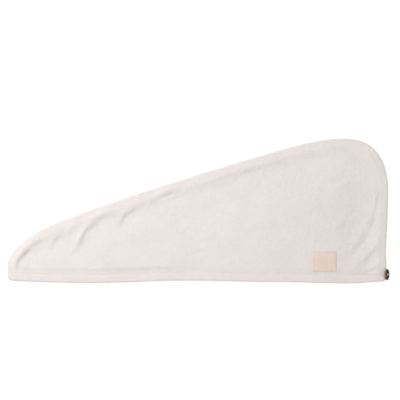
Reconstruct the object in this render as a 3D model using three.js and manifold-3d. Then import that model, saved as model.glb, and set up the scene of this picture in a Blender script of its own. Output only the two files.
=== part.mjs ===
// A hair turban towel, empty and lying flat: two terry panels sewn together along one curved edge and open
// along the straight hem. The narrow tail points to -X, the head end to +X, and the hem lies along -Y.
// Millimetres, +Z up. The origin is the middle of the underside of the bounding box.
import * as THREE from "three";
import { mergeVertices } from "three/addons/utils/BufferGeometryUtils.js";
import Module from "manifold-3d";

// Overall size as it lies flat.
const LENGTH = 650;
const HEIGHT = 248.6;

// Cloth: one ply of terry, and the same cloth doubled in the hem and in the turned-in seam allowance.
const PLY = 2.4;
const DOUBLED = 4.35;
const CLEARANCE = 0.3;
const SEAM_ALLOWANCE = 12;
const ALLOWANCE_STEP = 5;
const EDGE_ROUND = 4;

// Hem: the band's width, the rounding of its two corners, and how far its edge waves up from a straight line.
const HEM_WIDTH = 15;
const CORNER_RADIUS = 8;
const HEM_WAVE = 5.5;
const STITCH_DIP = 1.2;
const STITCH_SPREAD = 6;

// Hollow: its height in the head end and in the tail, the gap between the two hems where they part most, and
// how far from a seam or the hem the cloth takes to reach that height.
const HEAD_LOFT = 10;
const TAIL_LOFT = 3.3;
const MOUTH_GAP = 7;
const SEAM_SLOPE = 34;
const HEM_SLOPE = 60;

// Folds of the front panel: half the width of a valley and its depth. The ridge beside it is given as shares
// of them: how high it is, and how far from the valley.
const FOLD_WIDTH = 8;
const FOLD_DEPTH = 2;
const FOLD_RIDGE = 0.55;
const RIDGE_AWAY = 2;

// Label patch, measured from the head end and from the hem's stitch line.
const PATCH_WIDTH = 40;
const PATCH_HEIGHT = 35;
const PATCH_THICKNESS = 1.2;
const PATCH_FROM_END = 89;
const PATCH_ABOVE_STITCH = 4.5;

// Button, leaning against the edge of the hem, and the wound thread that holds it.
const BUTTON_DIAMETER = 19;
const BUTTON_THICKNESS = 2.8;
const BUTTON_TILT = THREE.MathUtils.degToRad(25);
const BUTTON_ABOVE_HEM = 11.5;
const BUTTON_RIM = 2.4;
const BUTTON_DISH = 0.7;
const BUTTON_BEVEL = 0.8;
const BUTTON_SIDES = 32;
const HOLE_DIAMETER = 1.7;
const HOLE_PITCH = 3.2;
const HOLE_SIDES = 10;
const SHANK_DIAMETER = 3.2;
const SHANK_SIDES = 12;
const THREAD_PULL = 1.4;
const PULL_SPREAD = 4;

// The height where the two panels meet along the seam.
const MID = DOUBLED + CLEARANCE / 2;
const FRONT_BASE = MID + CLEARANCE / 2;
const BACK_TOP = MID - CLEARANCE / 2;

// The curved seam from the tail to the head end, as cubic stretches: the handle that arrives at a knot, the
// knot, and the handle that leaves it. Each place is a share of LENGTH and a share of HEIGHT.
const SEAM_START = { knot: [0, 0.125], leave: [0, 0.183] };
const SEAM = [
  { at: "tail shoulder", arrive: [0.0254, 0.283], knot: [0.0877, 0.368], leave: [0.199, 0.52] },
  { at: "brow", arrive: [0.682, 0.8995], knot: [0.769, 0.956], leave: [0.809, 0.982] },
  { at: "crown", arrive: [0.849, 1], knot: [0.886, 1], leave: [0.988, 1] },
  { at: "head end", arrive: [1, 0.76], knot: [1, 0.644], leave: [1, 0.457] },
  { at: "nape", arrive: [0.9948, 0.292], knot: [0.9946, 0.229], leave: [0.9945, 0.19] },
];
const SEAM_END = { arrive: [0.9965, 0.13], along: 0.9962 };

// How far the hem's edge stands up from a straight line: along is a share of LENGTH, wave of HEM_WAVE.
const HEM_LINE = [
  { along: 0, wave: 0.95 },
  { along: 0.04, wave: 0.68 },
  { along: 0.145, wave: 0.27 },
  { along: 0.3, wave: 0.31 },
  { along: 0.42, wave: 0.85 },
  { along: 0.52, wave: 0.88 },
  { along: 0.64, wave: 0.58 },
  { along: 0.77, wave: 0.36 },
  { along: 0.86, wave: 0.07 },
  { along: 0.91, wave: 0.03 },
  { along: 0.96, wave: 0.4 },
  { along: 1, wave: 0.7 },
];

// Folds of the front panel, each a valley along a curve bent by one handle. Each place is a share of LENGTH
// and a share of HEIGHT, wide is a share of FOLD_WIDTH and deep of FOLD_DEPTH. The ridge lies left of the run.
const FOLDS = [
  { at: "tail", from: [0.269, 0.475], bend: [0.192, 0.364], to: [0.17, 0.2], wide: 1, deep: 1 },
  { at: "tip", from: [0.085, 0.303], bend: [0.03, 0.21], to: [0.034, 0.1], wide: 0.7, deep: 0.7 },
  { at: "low tail", from: [0.137, 0.355], bend: [0.119, 0.298], to: [0.108, 0.21], wide: 0.8, deep: 0.4 },
  { at: "shoulder", from: [0.341, 0.527], bend: [0.297, 0.462], to: [0.28, 0.4], wide: 1, deep: 0.5 },
  { at: "long edge", from: [0.44, 0.64], bend: [0.403, 0.609], to: [0.36, 0.555], wide: 1.1, deep: 0.45 },
  { at: "head end", from: [0.963, 0.76], bend: [0.992, 0.5], to: [0.895, 0.22], wide: 1.6, deep: 0.8 },
  { at: "nape", from: [0.975, 0.28], bend: [0.945, 0.2], to: [0.92, 0.125], wide: 1.1, deep: 0.5 },
];
const FOLD_FADE = 0.12;

// Where along the towel the hollow and the mouth open, peak and close, as shares of LENGTH.
const LOFT_SPAN = { from: 0.1, peak: 0.72, to: 1.12 };
const MOUTH_SPAN = { from: 0.27, peak: 0.64, to: 0.985 };

// Mesh columns along the seam: how much of it each stretch takes, and the step between columns in it.
const COLUMN_SPANS = [
  { share: 0.3, step: 9 },
  { share: 0.4, step: 19 },
  { share: 0.3, step: 11 },
];
const FOOT_SPREAD = 0.6;
const HEM_STEP = 20;
const FRONT_ROWS = [0.13, 0.26, 0.39, 0.52, 0.65, 0.77, 0.87];
const BACK_ROWS = [0.3, 0.6];
const NEAR_STITCH = [1, 0.4];
const NEAR_STITCH_SHARE = 0.1;
const ROUND_STEP = 0.3;
const PATCH_CELLS = 5;
const CURVE_STEPS = 40;

// How rounded an edge is at a depth in from it: 0 on the edge, 1 from the full radius inwards.
function roundness(depth, radius) {
  const left = 1 - THREE.MathUtils.clamp(depth / radius, 0, 1);
  return Math.sqrt(1 - left * left);
}

// A smooth hill along the towel that starts, peaks and ends at three shares of its length.
function hill(share, span) {
  const up = THREE.MathUtils.smoothstep(share, span.from, span.peak);
  const down = THREE.MathUtils.smoothstep(share, span.peak, span.to);
  return up * (1 - down);
}

// The hem's lower edge and the line where the hem band is stitched to the panel.
const hemWave = new THREE.CubicInterpolant(
  HEM_LINE.map((row) => row.along),
  HEM_LINE.map((row) => row.wave),
  1,
);

function hemEdge(x) {
  const share = THREE.MathUtils.clamp(x / LENGTH, 0, 1);
  return HEM_WAVE * hemWave.evaluate(share)[0];
}

function stitchLine(x) {
  return hemEdge(x) + HEM_WIDTH;
}

// A place on the flat towel from its two shares.
function placeOf([along, up]) {
  return new THREE.Vector2(along * LENGTH, up * HEIGHT);
}

// The seam's path, from the stitch line at the tail round to the stitch line at the head end.
function seamPath() {
  const path = new THREE.CurvePath();
  const foot = new THREE.Vector2(0, stitchLine(0) + CLEARANCE);
  path.add(new THREE.LineCurve(foot, placeOf(SEAM_START.knot)));
  let last = SEAM_START;
  for (const row of SEAM) {
    const handles = [last.knot, last.leave, row.arrive, row.knot].map(placeOf);
    path.add(new THREE.CubicBezierCurve(...handles));
    last = row;
  }
  const endX = SEAM_END.along * LENGTH;
  const end = new THREE.Vector2(endX, stitchLine(endX) + CLEARANCE);
  const handles = [last.knot, last.leave, SEAM_END.arrive].map(placeOf);
  path.add(new THREE.CubicBezierCurve(...handles, end));
  return path;
}

const seam = seamPath();
const seamPoints = seam.getSpacedPoints(CURVE_STEPS * CURVE_STEPS);

// Distance from a point to a run of short chords, with the side of the chord that it lies on.
function distanceTo(x, y, points) {
  let best = { away: Infinity, side: 1, share: 0 };
  for (let i = 0; i + 1 < points.length; i += 1) {
    const from = points[i];
    const run = new THREE.Vector2().subVectors(points[i + 1], from);
    const arm = new THREE.Vector2(x - from.x, y - from.y);
    const share = THREE.MathUtils.clamp(arm.dot(run) / run.lengthSq(), 0, 1);
    const away = Math.hypot(arm.x - share * run.x, arm.y - share * run.y);
    if (away < best.away) {
      const side = Math.sign(run.cross(arm)) || 1;
      best = { away, side, share: (i + share) / (points.length - 1) };
    }
  }
  return best;
}

const foldCurves = FOLDS.map((fold) => {
  const curve = new THREE.QuadraticBezierCurve(...[fold.from, fold.bend, fold.to].map(placeOf));
  return {
    points: curve.getPoints(CURVE_STEPS),
    wide: fold.wide * FOLD_WIDTH,
    deep: fold.deep * FOLD_DEPTH,
  };
});

// What the folds add to the front panel's height: a valley along each curve and a lower ridge beside it.
function foldHeight(x, y) {
  let height = 0;
  for (const fold of foldCurves) {
    const near = distanceTo(x, y, fold.points);
    const across = (near.away * near.side) / fold.wide;
    const fade = Math.sin(Math.PI * THREE.MathUtils.clamp(near.share, FOLD_FADE, 1 - FOLD_FADE));
    const valley = Math.exp(-across * across);
    const ridge = FOLD_RIDGE * Math.exp(-((across - RIDGE_AWAY) ** 2));
    height += fold.deep * fade * (ridge - valley);
  }
  return height;
}

// How far the inside of the front panel stands above the level where the panels are sewn together.
function mouthRise(x) {
  return (MOUTH_GAP - CLEARANCE) * hill(x / LENGTH, MOUTH_SPAN);
}

function loftRise(x) {
  const flat = FRONT_BASE - PLY;
  const loft = TAIL_LOFT + (HEAD_LOFT - TAIL_LOFT) * hill(x / LENGTH, LOFT_SPAN);
  return loft - flat;
}

function panelRise(x, y, depth) {
  const above = y - stitchLine(x);
  const valleyEnd = SEAM_ALLOWANCE + ALLOWANCE_STEP - 1;
  const inside = THREE.MathUtils.smoothstep(depth, valleyEnd, valleyEnd + SEAM_SLOPE);
  const open = THREE.MathUtils.lerp(
    mouthRise(x) + DOUBLED - PLY,
    loftRise(x),
    THREE.MathUtils.smoothstep(above, 0, HEM_SLOPE),
  );
  const dip = STITCH_DIP * (1 - THREE.MathUtils.smoothstep(above, 0, STITCH_SPREAD));
  return Math.max(0, inside * (open - dip) + foldHeight(x, y) * roundness(depth, valleyEnd));
}

// Upper and lower face of each panel at a point that lies a given depth in from the seam.
function allowanceEnd(depth) {
  return THREE.MathUtils.smoothstep(depth, SEAM_ALLOWANCE - 1, SEAM_ALLOWANCE - 1 + ALLOWANCE_STEP);
}

function frontFaces(x, y, depth) {
  const low = FRONT_BASE + allowanceEnd(depth) * panelRise(x, y, depth);
  const rim = FRONT_BASE + DOUBLED * roundness(depth, EDGE_ROUND);
  return { low, high: THREE.MathUtils.lerp(rim, low + PLY, allowanceEnd(depth)) };
}

function backFaces(x, y, depth) {
  const low = BACK_TOP * (1 - roundness(depth, EDGE_ROUND));
  return { low, high: THREE.MathUtils.lerp(BACK_TOP, PLY, allowanceEnd(depth)) };
}

// A closed body from a grid of places, each with a lower and an upper height. Places that meet are merged.
function gridBody(grid) {
  const columns = grid.length;
  const rows = grid[0].length;
  const last = columns - 1;
  const positions = [];
  const faces = [];
  for (const face of ["high", "low"]) {
    for (const column of grid) {
      for (const place of column) {
        positions.push(place.x, place.y, place[face]);
      }
    }
  }
  const index = (i, j, low) => (low ? columns * rows : 0) + i * rows + j;
  const quad = (a, b, c, d) => faces.push(a, b, c, a, c, d);
  for (let i = 0; i + 1 < columns; i += 1) {
    for (let j = 0; j + 1 < rows; j += 1) {
      quad(index(i, j), index(i, j + 1), index(i + 1, j + 1), index(i + 1, j));
      quad(index(i, j, true), index(i + 1, j, true), index(i + 1, j + 1, true), index(i, j + 1, true));
    }
    quad(index(i, 0), index(i + 1, 0), index(i + 1, 0, true), index(i, 0, true));
    quad(index(i, rows - 1), index(i, rows - 1, true), index(i + 1, rows - 1, true), index(i + 1, rows - 1));
  }
  for (let j = 0; j + 1 < rows; j += 1) {
    quad(index(0, j), index(0, j, true), index(0, j + 1, true), index(0, j + 1));
    quad(index(last, j), index(last, j + 1), index(last, j + 1, true), index(last, j, true));
  }
  const loose = new THREE.BufferGeometry();
  loose.setAttribute("position", new THREE.Float32BufferAttribute(positions, 3));
  loose.setIndex(faces);
  const merged = mergeVertices(loose, 1e-3);
  const kept = [];
  for (let i = 0; i < merged.index.count; i += 3) {
    const [a, b, c] = [0, 1, 2].map((k) => merged.index.getX(i + k));
    if (a !== b && b !== c && a !== c) {
      kept.push(a, b, c);
    }
  }
  merged.setIndex(kept);
  merged.computeVertexNormals();
  return merged;
}

// A panel's grid. Its first rows run beside the seam, at set depths in from it, and from the last of them
// straight rows lead to the stitch line, where they are spread out along it.
function panelGrid(facesAt, fieldRows) {
  const seamRows = [
    0,
    ROUND_STEP * EDGE_ROUND,
    EDGE_ROUND,
    SEAM_ALLOWANCE - 1,
    SEAM_ALLOWANCE - 1 + ALLOWANCE_STEP,
    SEAM_ALLOWANCE + 2 * ALLOWANCE_STEP,
  ];
  const deepest = seamRows.at(-1);
  const length = seam.getLength();
  const shares = [0];
  for (const span of COLUMN_SPANS) {
    const count = Math.round((span.share * length) / span.step);
    const from = shares.at(-1);
    for (let i = 1; i <= count; i += 1) {
      shares.push(from + (span.share * i) / count);
    }
  }
  const endX = SEAM_END.along * LENGTH;
  return shares.map((share, i) => {
    const edge = seam.getPointAt(Math.min(share, 1));
    const run = seam.getTangentAt(Math.min(share, 1));
    const atEnd = i === 0 || i === shares.length - 1;
    const column = seamRows.map((depth) => {
      const inward = i === 0 ? 1 : -1;
      const x = atEnd ? edge.x + inward * depth : edge.x + run.y * depth;
      const y = atEnd ? stitchLine(x) + CLEARANCE : edge.y - run.x * depth;
      return { x, y, ...facesAt(x, y, depth) };
    });
    const top = column.at(-1);
    const evenX = deepest + share * (endX - 2 * deepest);
    const footX = atEnd ? top.x : THREE.MathUtils.lerp(evenX, top.x, FOOT_SPREAD);
    const footY = stitchLine(footX) + CLEARANCE;
    const reach = Math.hypot(top.x - footX, top.y - footY) || 1;
    const spread = Math.min(STITCH_SPREAD / reach, NEAR_STITCH_SHARE);
    const nearStitch = NEAR_STITCH.map((away) => 1 - away * spread);
    for (const step of [...fieldRows, ...nearStitch, 1]) {
      const x = THREE.MathUtils.lerp(top.x, footX, step);
      const y = THREE.MathUtils.lerp(top.y, footY, step);
      column.push({ x, y, ...facesAt(x, y, distanceTo(x, y, seamPoints).away) });
    }
    return column;
  });
}

// Where the hem band begins and ends at a height above its edge: rounded corners, and at the head end a
// little pulled in by the button's thread.
function hemEnds(height) {
  const corner = CORNER_RADIUS * (1 - roundness(height, CORNER_RADIUS));
  const pull = THREAD_PULL * Math.exp(-(((height - BUTTON_ABOVE_HEM) / PULL_SPREAD) ** 2));
  return { start: corner, end: SEAM_END.along * LENGTH - corner - pull };
}

// A hem band's grid: columns along the hem, rows from the stitch line down to its folded edge.
function hemGrid(front) {
  const half = DOUBLED / 2;
  const rows = [HEM_WIDTH, HEM_WIDTH - STITCH_SPREAD / 2, HEM_WIDTH / 2, half, ROUND_STEP * half, 0];
  const endSteps = [0, ROUND_STEP * EDGE_ROUND, EDGE_ROUND, SEAM_ALLOWANCE];
  const count = Math.round((LENGTH - 2 * SEAM_ALLOWANCE) / HEM_STEP);
  const spots = endSteps.map((away) => ({ fromStart: away }));
  for (let i = 1; i < count; i += 1) {
    spots.push({ share: i / count });
  }
  spots.push(...endSteps.toReversed().map((away) => ({ fromEnd: away })));
  return spots.map((spot) =>
    rows.map((height) => {
      const ends = hemEnds(height);
      const first = ends.start + SEAM_ALLOWANCE;
      const last = ends.end - SEAM_ALLOWANCE;
      let x = THREE.MathUtils.lerp(first, last, spot.share ?? 0);
      if (spot.fromStart !== undefined) {
        x = ends.start + spot.fromStart;
      }
      if (spot.fromEnd !== undefined) {
        x = ends.end - spot.fromEnd;
      }
      const base = front ? FRONT_BASE + mouthRise(x) : 0;
      const plump = half * roundness(height, half);
      const sideRound = roundness(Math.min(x - ends.start, ends.end - x), EDGE_ROUND);
      const dip = THREE.MathUtils.smoothstep(height, HEM_WIDTH - STITCH_SPREAD, HEM_WIDTH);
      let low = base + half - plump;
      let high = base + half + plump;
      if (front) {
        high = THREE.MathUtils.lerp(low, high - STITCH_DIP * dip, sideRound);
      } else {
        low = THREE.MathUtils.lerp(high, low, sideRound);
      }
      return { x, y: hemEdge(x) + height, low, high };
    }),
  );
}

// The patch follows the front panel just above it.
function patchGrid() {
  const startX = LENGTH - PATCH_FROM_END - PATCH_WIDTH;
  const steps = Array.from({ length: PATCH_CELLS + 1 }, (_, i) => i / PATCH_CELLS);
  const baseY = stitchLine(startX + PATCH_WIDTH / 2) + PATCH_ABOVE_STITCH;
  return steps.map((across) =>
    steps
      .map((up) => {
        const x = startX + across * PATCH_WIDTH;
        const y = baseY + up * PATCH_HEIGHT;
        const low = frontFaces(x, y, distanceTo(x, y, seamPoints).away).high + CLEARANCE;
        return { x, y, low, high: low + PATCH_THICKNESS };
      })
      .reverse(),
  );
}

// The button's own frame: it faces +Z with its middle at the origin. A raised rim runs round a shallow dish.
function buttonProfile() {
  const radius = BUTTON_DIAMETER / 2;
  const half = BUTTON_THICKNESS / 2;
  return [
    [0, -half],
    [radius - BUTTON_BEVEL, -half],
    [radius, 0],
    [radius - BUTTON_BEVEL, half],
    [radius - BUTTON_RIM, half],
    [radius - BUTTON_RIM - BUTTON_DISH, half - BUTTON_DISH],
    [0, half - BUTTON_DISH],
  ].map(([r, z]) => new THREE.Vector2(r, z));
}

const wasm = await Module();
wasm.setup();

function toSolid(geometry) {
  const bare = geometry.clone();
  bare.deleteAttribute("normal");
  bare.deleteAttribute("uv");
  const merged = mergeVertices(bare, 1e-4);
  return new wasm.Manifold(
    new wasm.Mesh({
      numProp: 3,
      vertProperties: merged.attributes.position.array,
      triVerts: new Uint32Array(merged.index.array),
    }),
  );
}

function buttonGeometry() {
  const disc = new THREE.LatheGeometry(buttonProfile(), BUTTON_SIDES);
  disc.rotateX(Math.PI / 2);
  let solid = toSolid(disc);
  for (const sideX of [-1, 1]) {
    for (const sideY of [-1, 1]) {
      const drill = new THREE.CylinderGeometry(
        HOLE_DIAMETER / 2,
        HOLE_DIAMETER / 2,
        2 * BUTTON_THICKNESS,
        HOLE_SIDES,
      );
      drill.rotateX(Math.PI / 2);
      drill.translate((sideX * HOLE_PITCH) / 2, (sideY * HOLE_PITCH) / 2, 0);
      solid = solid.subtract(toSolid(drill));
    }
  }
  const made = solid.getMesh();
  const geometry = new THREE.BufferGeometry();
  geometry.setAttribute("position", new THREE.BufferAttribute(made.vertProperties, 3));
  geometry.setIndex(new THREE.BufferAttribute(made.triVerts, 1));
  geometry.computeVertexNormals();
  return geometry;
}

// The button leans on the rounded edge of the hem: its back meets the edge's curve, its lower rim the ground.
function buttonSeat() {
  const facing = new THREE.Vector3(Math.cos(BUTTON_TILT), 0, Math.sin(BUTTON_TILT));
  const sideX = SEAM_END.along * LENGTH;
  const edgeMiddle = new THREE.Vector3(sideX - EDGE_ROUND, 0, FRONT_BASE);
  const edgeReach = Math.hypot(EDGE_ROUND * facing.x, DOUBLED * facing.z);
  const half = BUTTON_THICKNESS / 2;
  const z = (BUTTON_DIAMETER / 2) * facing.x + half * facing.z + CLEARANCE;
  const ahead = edgeMiddle.dot(facing) + edgeReach + CLEARANCE + half;
  const x = (ahead - z * facing.z) / facing.x;
  const y = hemEdge(sideX) + BUTTON_ABOVE_HEM;
  return { middle: new THREE.Vector3(x, y, z), facing };
}

// The thread's length: from the back of the button to the curve of the hem's pulled-in edge.
function shankLength(seat) {
  const pulled = hemEnds(BUTTON_ABOVE_HEM).end - EDGE_ROUND;
  const clearOfCloth = (away) => {
    const spot = seat.middle.clone().addScaledVector(seat.facing, -away);
    return Math.hypot((spot.x - pulled) / EDGE_ROUND, (spot.z - FRONT_BASE) / DOUBLED) > 1;
  };
  let away = BUTTON_THICKNESS / 2;
  while (clearOfCloth(away) && away < BUTTON_DIAMETER) {
    away += CLEARANCE / 3;
  }
  return Math.max(CLEARANCE, away - BUTTON_THICKNESS / 2 - 2 * CLEARANCE);
}

const group = new THREE.Group();

function addPiece(name, geometry, color, roughness) {
  const material = new THREE.MeshStandardMaterial({ color, roughness, metalness: 0 });
  const mesh = new THREE.Mesh(geometry, material);
  mesh.name = name;
  group.add(mesh);
  return mesh;
}

addPiece("back_panel", gridBody(panelGrid(backFaces, BACK_ROWS)), 0xe4dcd8, 1);
addPiece("front_panel", gridBody(panelGrid(frontFaces, FRONT_ROWS)), 0xe9e1dd, 1);
addPiece("hem_back", gridBody(hemGrid(false)), 0xe0d8d4, 1);
addPiece("hem_front", gridBody(hemGrid(true)), 0xe6dedb, 1);
addPiece("label_patch", gridBody(patchGrid()), 0xe0cec0, 0.8);

const seat = buttonSeat();
const button = addPiece("button", buttonGeometry(), 0x3d2416, 0.35);
button.position.copy(seat.middle);
button.rotation.y = Math.PI / 2 - BUTTON_TILT;

const shankSpan = shankLength(seat);
const shankAway = BUTTON_THICKNESS / 2 + CLEARANCE + shankSpan / 2;
const thread = new THREE.CylinderGeometry(SHANK_DIAMETER / 2, SHANK_DIAMETER / 2, shankSpan, SHANK_SIDES);
thread.rotateX(Math.PI / 2);
const shank = addPiece("button_shank", thread, 0xd8cfc8, 0.9);
shank.position.copy(seat.middle).addScaledVector(seat.facing, -shankAway);
shank.rotation.y = Math.PI / 2 - BUTTON_TILT;

// The origin goes to the middle of the box's underside.
group.updateMatrixWorld(true);
const box = new THREE.Box3().setFromObject(group, true);
group.position.set(-(box.min.x + box.max.x) / 2, -(box.min.y + box.max.y) / 2, -box.min.z);

export default group;
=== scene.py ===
import math

import bmesh
import bpy
import numpy as np
from mathutils import Matrix, Vector, noise


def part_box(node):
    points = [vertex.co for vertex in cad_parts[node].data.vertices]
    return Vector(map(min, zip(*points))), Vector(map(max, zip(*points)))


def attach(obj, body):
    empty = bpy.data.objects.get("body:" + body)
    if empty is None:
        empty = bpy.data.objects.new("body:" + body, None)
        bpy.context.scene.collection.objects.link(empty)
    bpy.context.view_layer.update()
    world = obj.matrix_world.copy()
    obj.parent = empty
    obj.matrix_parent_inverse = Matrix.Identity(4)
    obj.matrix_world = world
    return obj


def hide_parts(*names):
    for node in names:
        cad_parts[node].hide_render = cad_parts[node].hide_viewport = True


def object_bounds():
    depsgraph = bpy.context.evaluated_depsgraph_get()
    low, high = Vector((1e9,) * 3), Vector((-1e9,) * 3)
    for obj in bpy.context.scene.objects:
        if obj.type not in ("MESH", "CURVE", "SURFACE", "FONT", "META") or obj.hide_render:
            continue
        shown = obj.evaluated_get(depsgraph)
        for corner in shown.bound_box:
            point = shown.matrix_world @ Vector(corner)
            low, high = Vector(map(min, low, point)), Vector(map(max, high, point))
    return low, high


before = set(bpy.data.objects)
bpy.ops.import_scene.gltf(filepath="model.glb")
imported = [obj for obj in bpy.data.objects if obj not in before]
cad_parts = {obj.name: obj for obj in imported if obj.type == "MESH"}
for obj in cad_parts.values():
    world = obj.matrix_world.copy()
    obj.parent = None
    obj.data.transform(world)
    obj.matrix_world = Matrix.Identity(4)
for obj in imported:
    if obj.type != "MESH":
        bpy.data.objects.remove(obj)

cad_low, cad_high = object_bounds()
bpy.ops.object.select_all(action="DESELECT")

# Camera, floor and light
# The towel lies on a white light table and is seen straight from above, through a long lens. The table
# glows, so shadows on it stay faint. Light comes from a window to the upper left and a wide one overhead.
VIEW_WIDTH = 0.6828
VIEW_CENTRE = (0.0024, 0.0181)
LENS = 180
SENSOR = 36
CLOTH_LEVEL = 0.009

camera_data = bpy.data.cameras.new("studio_camera")
camera_data.lens = LENS
camera_data.sensor_width = SENSOR
camera_data.clip_end = 50
camera = bpy.data.objects.new("studio_camera", camera_data)
camera.location = (*VIEW_CENTRE, CLOTH_LEVEL + VIEW_WIDTH * LENS / SENSOR)
bpy.context.collection.objects.link(camera)
bpy.context.scene.camera = camera
bpy.context.scene.view_settings.view_transform = "Standard"

FLOOR_SIZE = 14
FLOOR_COLOUR = (0.2, 0.2, 0.2, 1)
FLOOR_GLOW = 0.84

bpy.ops.mesh.primitive_plane_add(size=FLOOR_SIZE)
floor = bpy.context.object
floor.name = "studio_floor"
floor_paint = bpy.data.materials.new("floor_paint")
floor_paint.use_nodes = True
floor_shader = floor_paint.node_tree.nodes["Principled BSDF"]
floor_shader.inputs["Base Color"].default_value = FLOOR_COLOUR
floor_shader.inputs["Roughness"].default_value = 0.9
floor_shader.inputs["Emission Color"].default_value = (1, 1, 1, 1)
floor_shader.inputs["Emission Strength"].default_value = FLOOR_GLOW
floor.data.materials.append(floor_paint)

SKY_STRENGTH = 0.60

sky = bpy.data.worlds.new("studio_sky")
sky.use_nodes = True
sky.node_tree.nodes["Background"].inputs["Color"].default_value = (1, 1, 1, 1)
sky.node_tree.nodes["Background"].inputs["Strength"].default_value = SKY_STRENGTH
bpy.context.scene.world = sky

WINDOWS = [
    {"name": "window", "place": (-0.95, 0.70, 0.98), "size": 0.8, "power": 12.9},
    {"name": "fill", "place": (0.45, -0.35, 1.85), "size": 1.5, "power": 6.6},
]
for window in WINDOWS:
    light_data = bpy.data.lights.new(window["name"], "AREA")
    light_data.size = window["size"]
    light_data.energy = window["power"]
    light = bpy.data.objects.new(window["name"], light_data)
    light.location = window["place"]
    light.rotation_euler = (-Vector(window["place"])).to_track_quat("-Z", "Y").to_euler()
    bpy.context.collection.objects.link(light)


# Front panel
# One ply of cream cotton terry, cut to a long curved triangle. Its curved edge is sewn to the back panel
# and turned, so the allowance inside makes a soft doubled rim, and its straight edge is hemmed.
LENGTH = 0.650
HEIGHT = 0.2486
PLY = 0.0024
THINNEST = 0.0012
SOFTEST = 0.0007
DOUBLED = 0.00435
SEAM_GAP = 0.0003
SEAM_ALLOWANCE = 0.012
GROOVE_ROUND = 0.0009
ALLOWANCE_EDGE = SEAM_ALLOWANCE - 0.001
ALLOWANCE_STEP = 0.005
EDGE_ROUND = 0.0034
# How far in from the cloth's edges the painted shade reaches, where the edges turn away from the light.
EDGE_SHADE_REACH = 0.0036
HEM_WIDTH = 0.015
HEM_WAVE = 0.0055
STITCH_DIP = 0.0005
PANEL_DIP_SPREAD = 0.009
HEM_DIP_SPREAD = 0.005
HEAD_LOFT = 0.0086
TAIL_LOFT = 0.0033
LOFT_SPAN = (0.1, 0.76, 1.3)
MOUTH_GAP = 0.007
MOUTH_SPAN = (0.27, 0.64, 0.985)
SEAM_SLOPE = 0.095
RIM_CROWN = 0.24
RIM_CROWN_WIDTH = 0.015
RIM_FLAT = 0.012
RIM_SLOPE = 0.022
HEM_SLOPE = 0.090
HEM_EASE = 0.010
GATHERS_FROM = (0.006, 0.016)
GATHERS_TO = (0.030, 0.050)
CURVE_STEPS = 160
SEAM_STEPS = 1000
SWELL = 0.0015
SWELL_FROM = 0.012
SWELL_TO = 0.055
FRONT_BASE = DOUBLED + SEAM_GAP
BACK_TOP = DOUBLED

tail_x = cad_low.x
hem_y = cad_high.y - HEIGHT

# Knots and handles of the curved seam, as shares of LENGTH and HEIGHT.
SEAM_START = {"knot": (0, 0.125), "leave": (0, 0.183)}
SEAM = [
    {"at": "tail shoulder", "arrive": (0.0254, 0.283), "knot": (0.0877, 0.368), "leave": (0.199, 0.52)},
    {"at": "brow", "arrive": (0.682, 0.8995), "knot": (0.769, 0.956), "leave": (0.809, 0.982)},
    {"at": "crown", "arrive": (0.849, 1), "knot": (0.886, 1), "leave": (0.988, 1)},
    {"at": "head end", "arrive": (1, 0.76), "knot": (1, 0.644), "leave": (1, 0.457)},
    {"at": "nape", "arrive": (0.9948, 0.292), "knot": (0.9946, 0.229), "leave": (0.9945, 0.19)},
]
SEAM_END = {"arrive": (0.9965, 0.13), "along": 0.9962}
SEAM_DRAWN_IN = 0.0012

# How far the hem's edge stands up from a straight line, as shares of LENGTH and HEM_WAVE.
HEM_LINE = [
    (0, 0.95), (0.04, 0.68), (0.145, 0.27), (0.3, 0.31), (0.42, 0.85), (0.52, 0.88),
    (0.64, 0.58), (0.77, 0.36), (0.86, 0.07), (0.91, 0.03), (0.96, 0.4), (1, 0.7),
]

# How much the panel swells above the stitch line, as shares of LENGTH and SWELL.
SWELLS = [
    (0, 0.2), (0.08, 0.35), (0.18, 0.7), (0.27, 1), (0.42, 0.95), (0.5, 0.3), (0.62, 0.08), (0.8, 0.1),
    (1, 0.2),
]

# The unevenness of the cloth and of its folds: how high, how wide one hill is, and where the noise is read.
SLACK_CLOTH = {"height": 0.0002, "step": 0.075, "seed": 3.1}
SOFT_HILLS = {"height": 0.00012, "step": 0.022, "seed": 6.6}
SMALL_DENTS = {"height": 0.00016, "step": 0.0085, "seed": 9.3}
SEAM_GATHERS = {"height": 0.0002, "step": 0.009, "seed": 8.4}
CRUMPLED_PILE = {"height": 0.00005, "step": 0.0045, "seed": 5.7, "octaves": 2}
FOLD_WOBBLE = {"height": 0.25, "step": 0.018, "seed": 4.2}
FOLD_UNEVEN = {"height": 0.6, "step": 0.024, "seed": 1.7}

FOLD_NARROW = 0.8
FOLD_FADE = 0.85
FOLD_REACH = 5

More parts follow.
